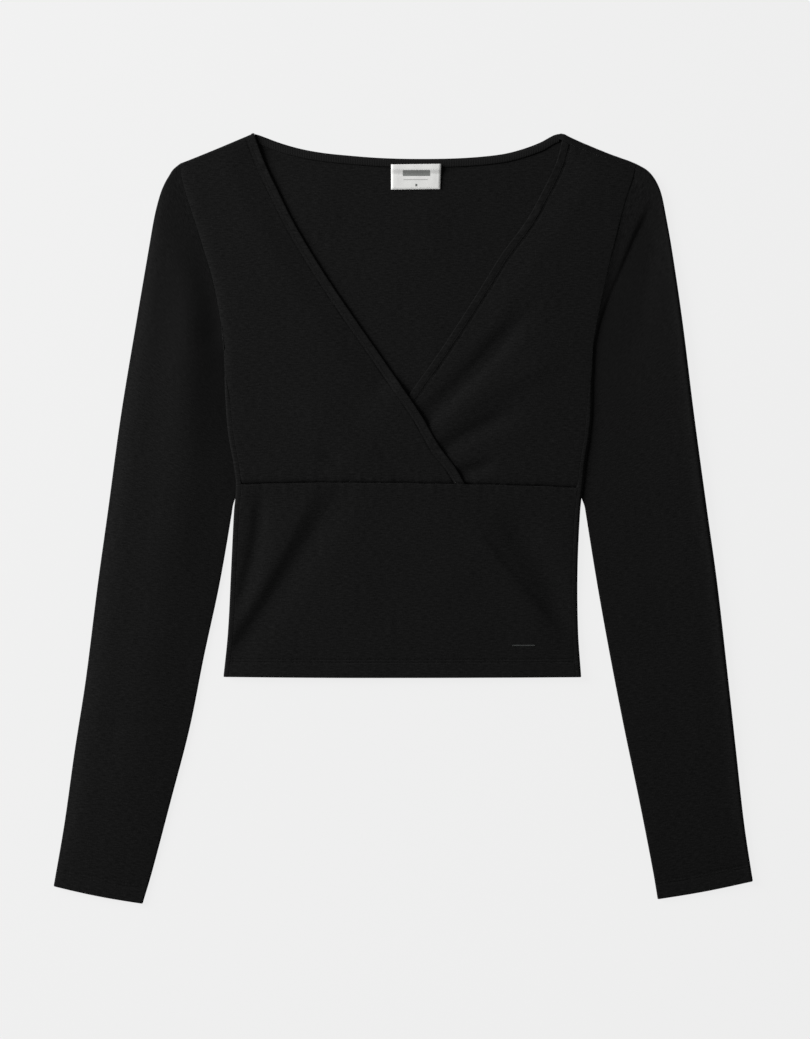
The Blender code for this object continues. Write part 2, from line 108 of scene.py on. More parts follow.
TURN_CHANNEL = 0.5        # depth of the channels at hem and cuffs
HEM_WIDTH = 13.0
HEM_RISE, CUFF_RISE = (0.4, 0.7), (0.22, 0.6)   # of the doubled cloth, and more at its edge
LIP_FADES = (-2.0, HEM_WIDTH)    # over this stretch from the edge, the second rise fades out
BACK_CHANNEL = 0.102      # depth of the channels on the underside
TAPE_WIDTH = 7.0
TAPE_TOP = 0.9            # its upper edge lies this far below the top fold
TAPE_LIFT = BACK_LIFT + WALL + 0.75   # outer height of its edges
TAPE_ENDS = {RIGHT: -119.0, LEFT: 128.0}
RIB_PITCH = 1.4           # ribs across the neck tape
LABEL_SIZE = (41.0, 20.5)
LABEL_CENTRE_X = 10.7
LABEL_TOP = 289.8
LABEL_LIFT = BACK_LIFT + WALL + 0.9   # outer height of its foot, on the back
LABEL_STEP = 1.5          # its head lies this much higher, on the tape
LABEL_TURN = 0.012        # it lies turned by this slope
LABEL_SKEW = 0.035        # and its left foot is drawn in by this share
# Plain woven marks on the label: centre, size, colour and strength.
LABEL_MARKS = (((11.0, 282.6), (22.5, 4.8), "#7a7c7a", 1.0),
               ((10.4, 277.3), (20.0, 0.8), "#9a9c9a", 0.7),
               ((10.9, 272.8), (1.7, 2.0), "#6a6c6a", 1.0))
HEM_MARK = (89.6, 108.0, -105.4, -103.6)   # left, right, low and high edge of a plain bar
BAR_THREAD = 0.5          # thickness and spacing of the bar's satin stitches


def table(names, *rows):
    """A table of named columns, one dictionary for each row."""
    return [dict(zip(names.split(), row)) for row in rows]


# Side edges of the body, from the hem up to the shoulder.  Above UNDERARM they are armholes.
BODY_EDGES = table("y right left",
                   (-130.4, -147.2, 146.0), (-93.5, -143.5, 143.5), (-44.3, -141.0, 143.0),
                   (4.9, -138.6, 145.1), (27.1, -136.9, 147.6), (46.7, -139.4, 149.6),
                   (64.8, -142.7, 152.5), (82.0, -144.6, 154.4), (107.4, -146.0, 155.0),
                   (137.8, -147.0, 155.6), (162.4, -149.8, 159.6), (195.2, -156.2, 166.4),
                   (228.0, -166.1, 174.0), (249.3, -172.6, 179.4), (264.9, -177.6, 183.9),
                   (278.4, -181.2, 188.4), (291.0, -183.0, 191.1))
# Folded top edge: both shoulders and, between the neck points, the back neckline.
TOP_EDGE = table("x y",
                 (-183.0, 290.3), (-166.5, 296.8), (-150.1, 303.4), (-133.7, 310.2),
                 (-122.2, 315.0), (-117.3, 313.6), (-100.9, 307.5), (-84.5, 302.8),
                 (-68.1, 299.7), (-51.7, 297.8), (-18.9, 295.2), (14.0, 294.4),
                 (50.0, 295.2), (79.5, 298.0), (95.9, 301.8), (112.3, 307.8),
                 (123.5, 313.8), (130.4, 315.7), (136.9, 312.2), (153.3, 304.9),
                 (169.7, 298.3), (186.1, 292.3), (191.1, 290.3))
NECK_POINT = {RIGHT: -122.2, LEFT: 130.4}
# Neckline edges of the two fronts.  The under-wrap's runs on below the over-wrap.
NECKLINES = table("y right left",
                  (27.9, 50.8, -45.6), (41.8, 42.6, -36.2), (59.0, 29.6, -24.4),
                  (83.6, 15.4, -7.4), (107.8, -1.0, 9.7), (132.8, -18.2, 27.4),
                  (158.3, -36.0, 44.3), (187.8, -56.2, 63.1), (215.7, -74.0, 80.4),
                  (243.5, -90.2, 100.9), (267.3, -102.0, 114.0), (291.1, -113.2, 125.4),
                  (315.0, -122.2, 131.6))
WAIST_SEAM = table("x y", (-137.0, 27.4), (-74.6, 28.9), (5.0, 28.5), (92.7, 26.7), (147.0, 24.5))
HEM = table("x y", (-147.2, -130.2), (-70.0, -130.9), (0.0, -131.0), (80.0, -130.8),
            (146.0, -130.4))
# How far in front of the fold the left shoulder seam lies.
LEFT_SHOULDER_SEAM = table("x depth", (130.4, 6.4), (161.5, 5.2), (191.1, 3.9))
SLEEVE_OUTER = table("y right left",
                     (-300.9, -286.2, 287.2), (-250.9, -277.6, 279.6), (-191.9, -269.3, 273.0),
                     (-132.8, -260.1, 266.5), (-54.1, -250.2, 257.5), (4.9, -242.0, 249.3),
                     (83.6, -231.3, 238.6), (162.4, -218.3, 228.8), (221.4, -208.3, 220.2),
                     (248.0, -203.6, 215.5), (265.0, -199.2, 212.0), (274.0, -195.6, 208.6),
                     (281.0, -191.6, 204.2), (285.8, -188.4, 199.2), (290.3, -183.0, 191.1))
SLEEVE_INNER = table("y right left",
                     (-315.3, -213.2, 209.1), (-290.3, -205.8, 205.0), (-231.2, -190.2, 193.5),
                     (-172.2, -174.9, 181.2), (-113.2, -163.1, 169.7), (-54.1, -150.4, 159.1),
                     (4.9, -140.2, 149.6), (17.2, -138.9, 147.9))
SLEEVE_LENGTH = 590.0     # along the outer fold
CUFF = {RIGHT: {"outer": -300.9, "inner": -315.3}, LEFT: {"outer": -296.8, "inner": -311.6}}
CUFF_WIDTH = 90.0         # laid flat
# Section of a sleeve, from the cuff (0) to the armhole (1): outer heights of its outer and inner
# folded edges, the rise of the flank beside the outer one, and the ridge along its middle.
SLEEVE_SECTIONS = {
    RIGHT: table("along outer inner flank ridge",
                 (0.0, 3.2, 2.8, 0.8, 0.0), (0.12, 3.4, 2.8, 2.4, 0.1), (0.39, 3.6, 2.7, 3.0, 0.6),
                 (0.53, 3.7, 2.5, 3.2, 1.7), (0.68, 3.8, 2.1, 3.3, 2.6), (0.81, 3.9, 1.9, 2.9, 2.7),
                 (0.92, 4.0, 2.1, 1.8, 1.6), (1.0, 4.2, 2.5, 0.0, 0.0)),
    LEFT: table("along outer inner flank ridge",
                (0.0, 3.9, 2.9, -0.6, 0.0), (0.15, 4.9, 2.8, -1.1, -0.2), (0.39, 6.0, 2.4, -1.4, -0.4),
                (0.53, 6.3, 1.8, -1.5, -0.4), (0.68, 6.4, 1.3, -1.4, -0.3), (0.81, 6.2, 1.3, -1.1, 0.0),
                (0.92, 5.3, 1.8, -0.5, 0.0), (1.0, 4.2, 2.6, 0.0, 0.0))}
RIDGE_AT, RIDGE_WIDTH = 0.6, 0.24          # in shares of the sleeve's width from its outer edge
FLANK_WIDTH = {RIGHT: 21.0, LEFT: 13.0}
ARMHOLE_SLOPE = {RIGHT: 31.0, LEFT: 7.0}   # the sleeve climbs from its seam over this width
# Folds and creases.  Each runs from (x0, y0) to (x1, y1) and bows aside by `bow` half-way.
# It is `left` wide on the left of that way and `right` wide on its right.
CREASES = table("piece x0 y0 x1 y1 bow left right height",
                ("front_waist", -74.0, 24.0, -157.0, -124.0, -3.3, 7.0, 12.0, 1.1),
                ("front_waist", -50.0, 26.0, -157.0, -134.0, -3.2, 15.0, 9.0, -2.0),
                ("front_waist", -116.0, 24.0, -139.0, -84.0, -5.0, 8.0, 6.0, -1.7),
                ("front_waist", 56.0, -8.0, 128.0, -96.0, 1.0, 5.0, 16.0, 1.3),
                ("front_waist", 84.0, 2.0, 134.0, -92.0, -4.0, 16.0, 12.0, -2.2),
                ("front_waist", 20.0, 8.0, 60.0, -60.0, -6.0, 24.0, 24.0, 0.5),
                ("left_front", -4.0, 62.0, 100.0, 166.0, 3.0, 9.0, 8.0, -2.7),
                ("left_front", 40.0, 84.0, 126.0, 128.0, -3.0, 12.0, 9.0, 1.0),
                ("left_front", 16.0, 46.0, 92.0, 87.0, -2.0, 7.0, 8.0, -2.0),
                ("left_front", 26.0, 32.0, 74.0, 44.0, 0.0, 5.0, 6.0, -2.0),
                ("right_front", -68.0, 57.0, -20.0, 31.0, 3.0, 2.4, 6.0, -1.2),
                ("right_front", -23.0, 57.0, 13.0, 32.0, 1.5, 2.2, 6.0, -1.0),
                ("right_front", -84.0, 92.0, -6.0, 48.0, 4.0, 13.0, 13.0, 1.0),
                ("right_sleeve", -264.0, -168.0, -228.0, -172.0, 0.6, 2.0, 2.6, -0.6),
                ("right_sleeve", -226.0, -170.0, -190.0, -167.0, -0.8, 1.8, 2.4, -0.4),
                ("left_sleeve", 178.0, -171.0, 212.0, -168.0, 0.8, 2.4, 2.0, -0.5),
                ("left_sleeve", 201.0, 250.0, 154.0, 132.0, -0.4, 24.0, 3.6, -3.8))


# ---- curves ----

def smooth(rows, key, value):
    """A smooth curve through a table's rows: value as a function of key, level past its ends."""
    knots, values = np.array(sorted((row[key], row[value]) for row in rows)).T
    slopes = ((np.r_[values[1:], values[-1]] - np.r_[values[0], values[:-1]])
              / (np.r_[knots[1:], knots[-1]] - np.r_[knots[0], knots[:-1]]))

    def at(k):
        k = np.clip(k, knots[0], knots[-1])
        i = np.clip(np.searchsorted(knots, k) - 1, 0, len(knots) - 2)
        span = knots[i + 1] - knots[i]
        t = (k - knots[i]) / span
        return ((2 * t ** 3 - 3 * t ** 2 + 1) * values[i] + (3 * t ** 2 - 2 * t ** 3) * values[i + 1]
                + (t ** 3 - 2 * t ** 2 + t) * span * slopes[i] + (t ** 3 - t ** 2) * span * slopes[i + 1])
    return at


def smooth_with_corners(rows, key, value, corners):
    """Smooth curves that meet at true corners, which are rows of the table."""
    ends = [-math.inf, *corners, math.inf]
    runs = [smooth([row for row in rows if low <= row[key] <= high], key, value)
            for low, high in zip(ends, ends[1:])]

    def at(k):
        which = np.searchsorted(corners, k)
        return np.select([which == index for index in range(len(runs))], [run(k) for run in runs])
    return at


def mix(start, end, share):
    """The value that lies this share of the way from start to end."""
    return start + (end - start) * share


def ramp(low, high, value):
    """0 below low, 1 above high and a smooth rise between them."""
    t = np.clip((value - low) / (high - low), 0.0, 1.0)
    return t * t * (3 - 2 * t)


def at_least(low, height, blend):
    """The height, but never below low, with a soft passage between the two."""
    return blend * np.logaddexp(height / blend, low / blend)


BODY = {side: smooth(BODY_EDGES, "y", side) for side in (RIGHT, LEFT)}
NECK = {side: smooth(NECKLINES, "y", side) for side in (RIGHT, LEFT)}
OUTER = {side: smooth(SLEEVE_OUTER, "y", side) for side in (RIGHT, LEFT)}
top_fold = smooth_with_corners(TOP_EDGE, "x", "y", sorted(NECK_POINT.values()))
plain_waist_seam = smooth(WAIST_SEAM, "x", "y")
hem = smooth(HEM, "x", "y")
left_shoulder_seam = smooth(LEFT_SHOULDER_SEAM, "x", "depth")


def inner_edge(side):
    """The sleeve's inner edge: free below, and close beside the body above."""
    free = smooth(SLEEVE_INNER, "y", side)
    joins = max(row["y"] for row in SLEEVE_INNER)
    return lambda y: mix(free(y), BODY[side](y) - OVERLAP * OUTWARDS[side],
                         ramp(joins - 9.0, joins + 6.0, y))


INNER = {side: inner_edge(side) for side in (RIGHT, LEFT)}


def uneven(along, seed, lengths=(5.3, 7.9, 12.1, 19.7)):
    """An irregular wave of height about 1 along a line, for puckers and wavering edges."""
    total = 0.0
    for index, length in enumerate(lengths):
        phase = 2.4 * seed + 1.9 * index * seed + index
        total = total + np.sin(2 * math.pi * along / length + phase)
    return total / 2.2


def undulation(x, y, seed):
    """Slow soft waves of the cloth, about a quarter of a millimetre high."""
    waves = ((61.0, 20.0), (83.0, 115.0), (47.0, 70.0), (38.0, 160.0), (97.0, -30.0))
    total = 0.0
    for index, (length, turn) in enumerate(waves):
        turned = math.radians(turn + 23.0 * seed)
        along = x * math.cos(turned) + y * math.sin(turned)
        total = total + np.sin(2 * math.pi * along / length + 1.7 * seed * (index + 1)) * length / 83.0
    return 0.09 * total


def creases(piece, x, y):
    """Height that the piece's folds add: a soft bell across each, fading out at its ends."""
    height = 0.0
    for row in CREASES:
        if row["piece"] != piece:
            continue
        run = (row["x1"] - row["x0"], row["y1"] - row["y0"])
        length = math.hypot(*run)
        along = ((x - row["x0"]) * run[0] + (y - row["y0"]) * run[1]) / length ** 2
        across = ((x - row["x0"]) * run[1] - (y - row["y0"]) * run[0]) / length
        across = across - 4 * row["bow"] * along * (1 - along)
        width = np.where(across > 0, row["right"], row["left"])
        fade = ramp(-0.12, 0.25, along) * (1 - ramp(0.75, 1.12, along))
        height = height + row["height"] * fade * np.exp(-(across / width) ** 2)
    return height


def side_inset(y):
    """Distance of the side seam inside the folded side edge.  At the underarm it meets the edge."""
    return mix(SIDE_SEAM_IN, 0.0, ramp(*SEAM_RUNS_OUT, y - UNDERARM))


def inside_body(x, y):
    """Distance inside the nearer side edge of the body."""
    return np.minimum(x - BODY[RIGHT](y), BODY[LEFT](y) - x)


def seam_roll(distance, depth, reach):
    """How far the cloth has rolled down softly towards a seam, by its distance from the seam."""
    return depth * np.exp(-np.maximum(distance, 0.0) / reach)


def seam_dip(distance, depth, width):
    """How far the cloth dips in a quarter round at a seam, by its distance from the seam."""
    t = np.clip(1 - distance / width, 0.0, 1.0)
    return depth * (1 - np.sqrt(1 - t * t))


def edge_roll(side, x, y):
    """How far the body's edge is rounded off towards a sleeve or the floor."""
    upper, lower, reach = SIDE_ROLL[side]
    from_edge = (BODY[side](y) - x) * OUTWARDS[side]
    depth = mix(lower, mix(upper, upper / 2, ramp(220.0, 285.0, y)), ramp(-20.0, 12.0, y - UNDERARM))
    depth = depth * (1 if side == RIGHT else 1 - ramp(-14.0, 4.0, y - UNDERARM))
    return seam_roll(from_edge, depth, reach) * mix(0.45, 1.0, ramp(-30.0, 40.0, y))


def armhole_groove(side, from_seam, y):
    """The left armhole seam is a narrow groove.  The right one only shows as the rolled edge."""
    groove = seam_dip(from_seam, *ARMHOLE_DIP) + seam_roll(from_seam, *ARMHOLE_ROLL)
    return groove * ramp(-6.0, 12.0, y - UNDERARM) * (side == LEFT)


def waist_seam(x):
    """The seam wavers a little, as a sewn stretch seam does."""
    return plain_waist_seam(x) + 0.22 * uneven(x, 3.0, (23.0, 37.0, 61.0))


# ---- sheets of cloth ----

def spread(near, count, far):
    """Grid lines between two edges: at fixed distances from each edge, and evenly in the middle."""
    from_first = np.r_[near, np.full(count - 1 + len(far), near[-1])]
    from_last = np.r_[np.full(len(near) + count - 1, far[-1]), far[::-1]]
    share = np.r_[np.zeros(len(near)), np.arange(1, count) / count, np.ones(len(far))]
    return from_first, from_last, share


def between(first, last, lines, index):
    """Place of grid line `index` of a spread() from first to last."""
    from_first, from_last, share = (part[index] for part in lines)
    return mix(first + from_first, last - from_last, share)


def cloth_piece(name, columns, rows, place, wall=WALL, side=-1, closed=False):
    """A sheet of cloth.  place(i, j) gives its outer face in millimetres, and the cloth's own
    coordinates across and along the grain."""
    bm = bmesh.new()
    bmesh.ops.create_grid(bm, x_segments=columns, y_segments=rows, size=0.5)
    plan = np.array([vert.co[:2] for vert in bm.verts])
    i = np.rint((plan[:, 0] + 0.5) * columns).astype(int)
    j = np.rint((plan[:, 1] + 0.5) * rows).astype(int)
    x, y, z, across, along = place(i, j)
    for vert, point in zip(bm.verts, MM * np.stack(np.broadcast_arrays(x, y, z), axis=1)):
        vert.co = point
    grain = bm.verts.layers.float_vector.new("grain")
    for vert, point in zip(bm.verts, MM * np.stack(np.broadcast_arrays(across, along, 0 * x), axis=1)):
        vert[grain] = point
    if closed:
        bmesh.ops.remove_doubles(bm, verts=bm.verts, dist=MM * 0.01)
    piece = finished(name, bm)
    thick = piece.modifiers.new("wall", "SOLIDIFY")
    thick.thickness = wall * MM
    thick.offset = side
    return piece


def finished(name, bm):
    """A finished mesh as a smooth piece in the scene."""
    mesh = bpy.data.meshes.new(name)
    bm.to_mesh(mesh)
    bm.free()
    mesh.shade_smooth()
    piece = bpy.data.objects.new(name, mesh)
    bpy.context.scene.collection.objects.link(piece)
    return piece


def round_fold(past, radius=FOLD):
    """Reach and rise of cloth that runs `past` beyond the start of a half-round fold."""
    angle = np.clip(past / radius, 0.0, math.pi)
    return radius * np.sin(angle) - np.maximum(past - math.pi * radius, 0.0), radius * (1 - np.cos(angle))


def turned_edge():
    """Cloth lengths past the start of a turned edge, from the end inside to that start."""
    arc = np.linspace(0.0, math.pi * TURN, 8)
    return np.r_[arc, math.pi * TURN + TURN_RUN / 2, math.pi * TURN + TURN_RUN][::-1]


def channel(distance, along, depth):
    """The channel that a row of stitches pulls into the cloth, deeper at each stitch's ends."""
    pull = 0.7 + 0.3 * np.cos(2 * math.pi * along / STITCH_PITCH) + 0.14 * uneven(along, 1.0)
    return depth * pull * np.exp(-(distance / CHANNEL_WIDTH) ** 2)


def channels(from_edge, needles, along, depth):
    """The channels of all rows of stitches beside an edge."""
    return sum(channel(from_edge - needle, along, depth) for needle in needles)


def turned_rise(from_edge, needles, doubled, lip):
    """How far a turned edge stands up: its doubled cloth back to the stitches, and its very edge."""
    flat_again = ramp(needles[0] - 1.0, needles[1] + 2.5, from_edge)
    return doubled * (1 - flat_again) + lip * (1 - ramp(*LIP_FADES, from_edge))


def pucker(distance, along, seed, height, reach=7.0):
    """Small uneven ripples that stand square to a seam and die out away from it."""
    return height * uneven(along, seed) * np.exp(-np.abs(distance) / reach)


def landing(line, column_x, y):
    """Height at which a column, which lies at column_x(y), meets a line across the panel."""
    for _ in range(10):
        y = line(column_x(y))
    return y


# ---- back ----

def back_side(y, share):
    """Distance inside the side edge and rise.  share is 0 at the seam and 1 inside the fold."""
    lap = math.pi * FOLD + SIDE_SEAM_IN - FOLD + SIDE_ALLOWANCE
    shorter = ramp(*LAP_SHORTENS, y - UNDERARM)
    reach, rise = round_fold(mix(lap, FOLD, shorter) * (1 - share))
    open_side = ramp(LAP_SHORTENS[1], 0.0, y - UNDERARM)
    return mix(FOLD - reach, FOLD * share, open_side), rise * (1 - open_side)


def side_level(side, y):
    """Outer height of the front or waist panel at its side seam."""
    x = BODY[side](y) - OUTWARDS[side] * SIDE_SEAM_IN
    return np.where(y > waist_seam(x), front_height(side, x, y), waist_height(x, y))


def shoulder_slope(x, y):
    """How far the left shoulder has fallen towards its fold."""
    fall, width = SHOULDER_SLOPE
    return fall * (1 - ramp(0.0, width, top_fold(x) - y))


def back_panel():
    """The back, with its hem turned in and its edges folded round to the front."""
    side_steps = 18
    top_rows = np.r_[0.0, 0.2, np.linspace(0.4, 0.84, 13), np.linspace(0.87, 1.0, 12)]
    top_steps = len(top_rows) - 1
    body_lines = spread((0.0, 2.0, 4.5), 118, (0.0, 2.0, 4.5))
    across_lines = len(body_lines[2])
    turn = turned_edge()
    row_lines = spread((0.0, 0.5, 1.2, 2.4, 4.0), 150, (0.0, 3.0))
    columns = 2 * side_steps + across_lines - 1
    rows = len(turn) - 1 + len(row_lines[2]) - 1 + top_steps
    start = FOLD + TOP_STRIP

    def row_x(i, y):
        right_in, right_rise = back_side(y, np.clip(i / side_steps, 0, 1))
        left_in, left_rise = back_side(y, np.clip((columns - i) / side_steps, 0, 1))
        index = np.clip(i - side_steps, 0, across_lines - 1)
        x = between(BODY[RIGHT](y) + right_in, BODY[LEFT](y) - left_in, body_lines, index)
        return x, np.maximum(right_rise, left_rise)

    def top_profile(x, share):
        """Distance below the top fold and rise: over both shoulders and along the neck."""
        run = share * (TOP_STRIP + math.pi * FOLD + left_shoulder_seam(x) - FOLD)
        reach, rise = round_fold(run - TOP_STRIP)
        shoulder = start - np.minimum(run, TOP_STRIP) - reach
        neck_run = share * (start - TURN + math.pi * TURN + TURN_RUN) - (start - TURN)
        turn_reach, turn_rise = round_fold(neck_run, TURN)
        neck = TURN - turn_reach - np.minimum(neck_run, 0.0)
        covered = mix(start, FOLD + SHOULDER_LAP, share)
        at_left = ramp(*FOLD_START, x - NECK_POINT[LEFT])
        at_neck = ramp(*NECK_STEP, x - NECK_POINT[RIGHT])
        down = mix(mix(covered, neck, at_neck), shoulder, at_left)
        return down, mix(turn_rise * at_neck, rise, at_left)

    def lowered(x, y, side_rise, level, below, top_rise):
        """How far the laps at the sides and the left shoulder lie below the panels beside them."""
        side_lap = (WALL + SEAM_BELOW) * ramp(0.15, 1.1, inside_body(x, y) - side_inset(y))
        side_lap = side_lap * (side_rise > 0.9 * level) * (1 - below)
        before_seam = left_shoulder_seam(x) - (top_fold(x) - y)
        shoulder_lap = seam_roll(before_seam, *SHOULDER_LAP_ROLL) + shoulder_slope(x, y)
        return side_lap + shoulder_lap * (top_rise > FOLD)

    def place(i, j):
        past = turn[np.clip(j, 0, len(turn) - 1)]
        row = np.clip(j - len(turn) + 1, 0, len(row_lines[2]) - 1)
        top = top_rows[np.clip(j - len(turn) - len(row_lines[2]) + 2, 0, top_steps)]

        def column_x(y):
            return row_x(i, y)[0]

        low = landing(hem, column_x, NEAR_HEM) + TURN
        high = landing(lambda x: top_fold(x) - top_profile(x, top)[0], column_x, NEAR_TOP)
        out, rise = round_fold(past, TURN)
        y = between(low, high, row_lines, row) - out
        x, side_rise = row_x(i, y)
        down, top_rise = top_profile(x, top)
        inside = ramp(0.0, 40.0, inside_body(x, y)) * ramp(-90.0, -40.0, y)
        inside = inside * ramp(0.0, 30.0, top_fold(x) - y)
        soft = np.maximum(1.6 * undulation(x, y, 1.0) * inside, 0.0)
        level = np.where(i < columns / 2, side_level(RIGHT, y), side_level(LEFT, y)) - BACK_LIFT
        below = ramp(*LAP_LOWERS, y - UNDERARM)
        side_rise = side_rise * (level - below * (WALL + SEAM_BELOW)) / (2 * FOLD)
        round_side = 1 - 2 * np.clip(side_rise / level, 0, 1)
        z = BACK_LIFT + np.maximum(top_rise, side_rise) + rise * round_side + soft
        z = z + channels(y - hem(x), HEM_NEEDLES, x, BACK_CHANNEL) * (1 - ramp(0.0, 0.5, side_rise))
        z = z - lowered(x, y, side_rise, level, below, top_rise)
        inwards = rise * np.sqrt(1 - round_side ** 2) * np.where(i < columns / 2, 1, -1)
        return x + inwards, y, z, x, y
    return cloth_piece("jersey_back", columns, rows, place, side=1)


# ---- fronts ----

def single_front(side, x, y):
    """Outer height of one front where nothing but the back lies below it.  Its neckline rests on
    the back, and from there it rises towards the side, the shoulder and the seam under the bust."""
    from_neck = (x - NECK[side](y)) * OUTWARDS[side]
    resting = (1 - ramp(4.0, 36.0, from_neck)) * ramp(3.0, 26.0, top_fold(x) - y)
    return mix(FRONT_HEIGHT, FRONT_RESTING, resting * ramp(2.0, 22.0, y - waist_seam(x)))


def under_crossing(y):
    """1 where the fronts lie over one another, below the point where their edges cross."""
    return ramp(0.0, CROSSING_BLEND, CROSSING - y)


def front_height(side, x, y):
    """The over-wrap climbs over the under-wrap's hidden edge, and the under-wrap stays low."""
    alone = single_front(side, x, y) + creases(side + "_front", x, y) + undulation(x, y, 2.0)
    alone = alone - edge_roll(side, x, y)
    lying = FRONT_RESTING + WRAP_RISE + 0.6 * creases("right_front", x, y)
    if side == RIGHT:
        return mix(alone, lying, ramp(-34.0, -9.0, x - NECK[LEFT](y)) * under_crossing(y))
    covered = (1 - ramp(1.0, 14.0, x - NECK[RIGHT](y))) * under_crossing(y)
    return at_least(LOWEST_FRONT, mix(alone, np.minimum(alone, lying - WRAP_GAP), covered), 0.2)


def slant(side, y):
    """Length along the neckline's normal to length across, at height y."""
    return np.hypot(1.0, (NECK[side](y + 1.0) - NECK[side](y - 1.0)) / 2)


def front_surface(side, x, y):
    """Outer height of a front with its seams and stitch channels."""
    from_side = (BODY[side](y) - x) * OUTWARDS[side]
    from_neck = (x - NECK[side](y)) * OUTWARDS[side] / slant(side, y)
    from_waist = y - waist_seam(x)
    from_shoulder = top_fold(x) - y - left_shoulder_seam(x)
    height = front_height(side, x, y)
    from_seam = np.maximum(from_side - side_inset(y), 0.0)
    fading = 1 - ramp(-110.0, -30.0, y - UNDERARM)
    height = height - seam_roll(from_seam, *SIDE_SEAM_ROLL) * fading
    height = height - armhole_groove(side, np.maximum(from_side, 0.0), y)
    height = height + pucker(from_seam, y, 4.0, 0.07) + pucker(from_waist, x, 5.0, 0.2)
    height = height - sum(seam_roll(from_waist, *roll) for roll in BUST_SEAM_ROLLS)
    if side == LEFT:
        # Past the seam, the front's edge goes down under the back's lap.
        hidden = (WALL + 0.2) * ramp(-0.3, -0.9, from_shoulder)
        height = height - seam_roll(from_shoulder, *SHOULDER_ROLL) - hidden - shoulder_slope(x, y)
    along = y * slant(side, y)
    # The over-wrap's stitches pull harder towards the crossing.
    depth = 0.3 + 0.25 * (side == RIGHT) * (1 - ramp(150.0, 250.0, y))
    height = height - channel(from_neck - NECK_NEEDLES[1], along, depth)
    return height + pucker(from_neck - 8.0, along, 6.0, 0.07, 3.0)


def front_top(side, x, under=0.0):
    """A front ends at the shoulder's fold on the right, and at the shoulder seam on the left."""
    return top_fold(x) - (FOLD if side == RIGHT else left_shoulder_seam(x) - under)


def round_shoulder(z, past):
    """Reach and height of cloth that runs `past` beyond the start of the right shoulder's fold."""
    reach, drop = round_fold(past)
    return reach, np.where(past > 0, z - drop * (z - BACK_LIFT) / (2 * FOLD), z)


def front(side):
    """One wrapped front.  Column 0 is its side edge, and its last column lies under the band."""
    out = OUTWARDS[side]
    # The grid lines lie closest about the neckline's outer row of stitches.
    near_neck = (1.2, 4.4, 6.0, 6.7, 7.1, 7.4, 7.7, 8.0, 8.4, 8.9, 9.8, 11.2, 13.0)
    column_lines = spread(SEAM_STEPS, 96, near_neck)
    row_lines = spread(SEAM_STEPS, 120, SEAM_STEPS)
    columns, folded = len(column_lines[2]) - 1, 14 if side == RIGHT else 0
    rows = len(row_lines[2]) - 1 + folded

    def across(i, y):
        edge = BODY[side](y) - out * side_inset(y)
        from_first, from_last, share = (part[i] for part in column_lines)
        return mix(edge - out * from_first, NECK[side](y) + out * from_last * slant(side, y), share)

    def place(i, j):
        i = i if side == RIGHT else columns - i
        row = np.clip(j, 0, len(row_lines[2]) - 1)
        low = landing(waist_seam, lambda y: across(i, y), NEAR_BUST_SEAM)
        high = landing(lambda x: front_top(side, x, SIDE_ALLOWANCE), lambda y: across(i, y), NEAR_TOP)
        y = between(low, high, row_lines, row)
        past = np.clip(j - row, 0, folded) / max(folded, 1) * (math.pi * FOLD + SHOULDER_LAP)
        reach, z = round_shoulder(front_surface(side, across(i, y), y), past)
        x = across(i, y + reach)
        return x, y + reach, z, x, y + past
    return cloth_piece("jersey_front_" + side, columns, rows, place)


def neck_band(side):
    """The neckline's turned and stitched edge, from its free edge back to the needle rows."""
    out, (at_edge, at_seam, passes) = OUTWARDS[side], BAND_TILT[side]
    inner = np.array([BAND_WIDTH, 6.3, 6.0, 5.75, 5.5, 5.2, 4.9, 4.6, 4.2, 3.6, 2.9, 2.2, 1.6, 1.1])
    arc = turned_edge()[::-1][:9]      # without the last stretch of the turned edge
    distance = np.r_[inner, np.full(len(arc), TURN)]
    past = np.r_[np.zeros(len(inner)), arc]
    row_lines = spread((0.0, 1.0), 190, (0.0, 1.0))
    folded = 12 if side == RIGHT else 0
    columns, rows = len(distance) - 1, len(row_lines[2]) - 1 + folded

    def place(i, j):
        i = i if side == RIGHT else columns - i
        row = np.clip(j, 0, len(row_lines[2]) - 1)
        reach, drop = round_fold(past[i], TURN)
        away = distance[i] - reach

        def column_x(y):
            return NECK[side](y) + out * away * slant(side, y)

        low = landing(waist_seam, column_x, NEAR_BUST_SEAM)
        high = landing(lambda x: front_top(side, x), column_x, NEAR_TOP)
        y = between(low, high, row_lines, row)
        along = y * slant(side, y)
        tilt = mix(at_edge, at_seam, ramp(passes, 4.6, away))
        lift = BAND_RISE * tilt * ramp(BAND_WIDTH, 5.6, away) - 0.3 * ramp(5.9, BAND_WIDTH, away)
        lift = lift + 0.12 * uneven(along, 7.0) * ramp(0.5, 3.0, away) * ramp(BAND_WIDTH, 5.0, away)
        base = front_height(side, column_x(y), y) - seam_dip(y - low, 1.5, 1.5)
        z = base + lift - channel(away - NECK_NEEDLES[0], along, 0.22) - drop
        over = np.clip(j - row, 0, folded) / max(folded, 1) * math.pi * FOLD * BAND_LAP
        forward, z = round_shoulder(z, over)
        return column_x(y + forward), y + forward, z, out * (away + past[i]), along
    return cloth_piece("jersey_band_" + side, columns, rows, place, wall=BAND_WALL)


def waist_height(x, y):
    """Outer height of the waist panel without its seams.  The doubled hem stands up a little."""
    height = FRONT_HEIGHT + creases("front_waist", x, y) + undulation(x, y, 3.0)
    height = height + turned_rise(y - hem(x), HEM_NEEDLES, *HEM_RISE)
    return height - edge_roll(RIGHT, x, y) - edge_roll(LEFT, x, y)


